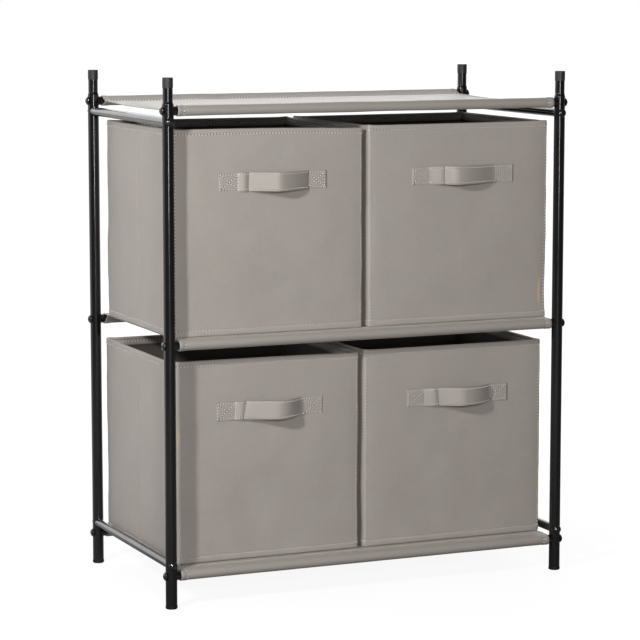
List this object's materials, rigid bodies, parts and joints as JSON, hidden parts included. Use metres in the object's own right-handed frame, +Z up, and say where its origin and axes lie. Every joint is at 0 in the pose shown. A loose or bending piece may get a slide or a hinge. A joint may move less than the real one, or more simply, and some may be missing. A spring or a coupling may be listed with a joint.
{
  "type": "fabric drawer dresser",
  "caption": "Storage tower of bolted black steel tube with sewn fabric shelves and soft fabric bins that slide out by strap pulls.",
  "frame": {"origin": "on the floor under the middle of the frame", "axes": "+Z up; the bins' pull straps face -Y; X runs across the width"},
  "size_m": [0.6226, 0.3346, 0.731],
  "materials": {
    "black_tube": "gloss enamel",
    "cap_plastic": "satin moulded plastic",
    "foot_plastic": "satin moulded plastic",
    "washer_plastic": "moulded, glossy",
    "black_screw": "black oxide",
    "insert_steel": "zinc plated",
    "shelf_cloth": "pressed non-woven cloth",
    "bin_cloth": "smooth pressed non-woven cloth",
    "lining_cloth": "dark non-woven lining",
    "board": "plain board",
    "board_cloth": "board covered in dark non-woven cloth",
    "strap_webbing": "folded and stitched cloth strap"
  },
  "bodies": {
    "frame": {"upright_front_left": "black_tube", "upright_cap_front_left": "cap_plastic", "foot_plug_front_left": "foot_plastic", "upright_front_right": "black_tube", "upright_cap_front_right": "cap_plastic", "foot_plug_front_right": "foot_plastic", "top_rod_front": "black_tube", "middle_rod_front": "black_tube", "bottom_rod_front": "black_tube", "upright_rear_left": "black_tube", "upright_cap_rear_left": "cap_plastic", "foot_plug_rear_left": "foot_plastic", "upright_rear_right": "black_tube", "upright_cap_rear_right": "cap_plastic", "foot_plug_rear_right": "foot_plastic", "top_rod_rear": "black_tube", "middle_rod_rear": "black_tube", "bottom_rod_rear": "black_tube", "top_side_rail_left": "black_tube", "bottom_side_rail_left": "black_tube", "top_side_rail_right": "black_tube", "bottom_side_rail_right": "black_tube", "saddle_washers": "washer_plastic", "socket_screws": "black_screw", "threaded_inserts": "insert_steel", "top_shelf_cloth": "shelf_cloth", "middle_shelf_cloth": "shelf_cloth", "bottom_shelf_cloth": "shelf_cloth"},
    "bin_upper_left": {"bin_cover_upper_left": "bin_cloth", "bin_lining_upper_left": "lining_cloth", "bin_wall_boards_upper_left": "board", "bin_base_board_upper_left": "board_cloth", "pull_strap_upper_left": "strap_webbing"},
    "bin_upper_right": {"bin_cover_upper_right": "bin_cloth", "bin_lining_upper_right": "lining_cloth", "bin_wall_boards_upper_right": "board", "bin_base_board_upper_right": "board_cloth", "pull_strap_upper_right": "strap_webbing"},
    "bin_lower_left": {"bin_cover_lower_left": "bin_cloth", "bin_lining_lower_left": "lining_cloth", "bin_wall_boards_lower_left": "board", "bin_base_board_lower_left": "board_cloth", "pull_strap_lower_left": "strap_webbing"},
    "bin_lower_right": {"bin_cover_lower_right": "bin_cloth", "bin_lining_lower_right": "lining_cloth", "bin_wall_boards_lower_right": "board", "bin_base_board_lower_right": "board_cloth", "pull_strap_lower_right": "strap_webbing"}
  },
  "joints": [
    {"name": "slide_upper_left", "type": "slide", "parent": "frame", "child": "bin_upper_left", "axis": [0, -1, 0], "range_m": [0, 0.3]},
    {"name": "slide_upper_right", "type": "slide", "parent": "frame", "child": "bin_upper_right", "axis": [0, -1, 0], "range_m": [0, 0.3]},
    {"name": "slide_lower_left", "type": "slide", "parent": "frame", "child": "bin_lower_left", "axis": [0, -1, 0], "range_m": [0, 0.3]},
    {"name": "slide_lower_right", "type": "slide", "parent": "frame", "child": "bin_lower_right", "axis": [0, -1, 0], "range_m": [0, 0.3]}
  ]
}
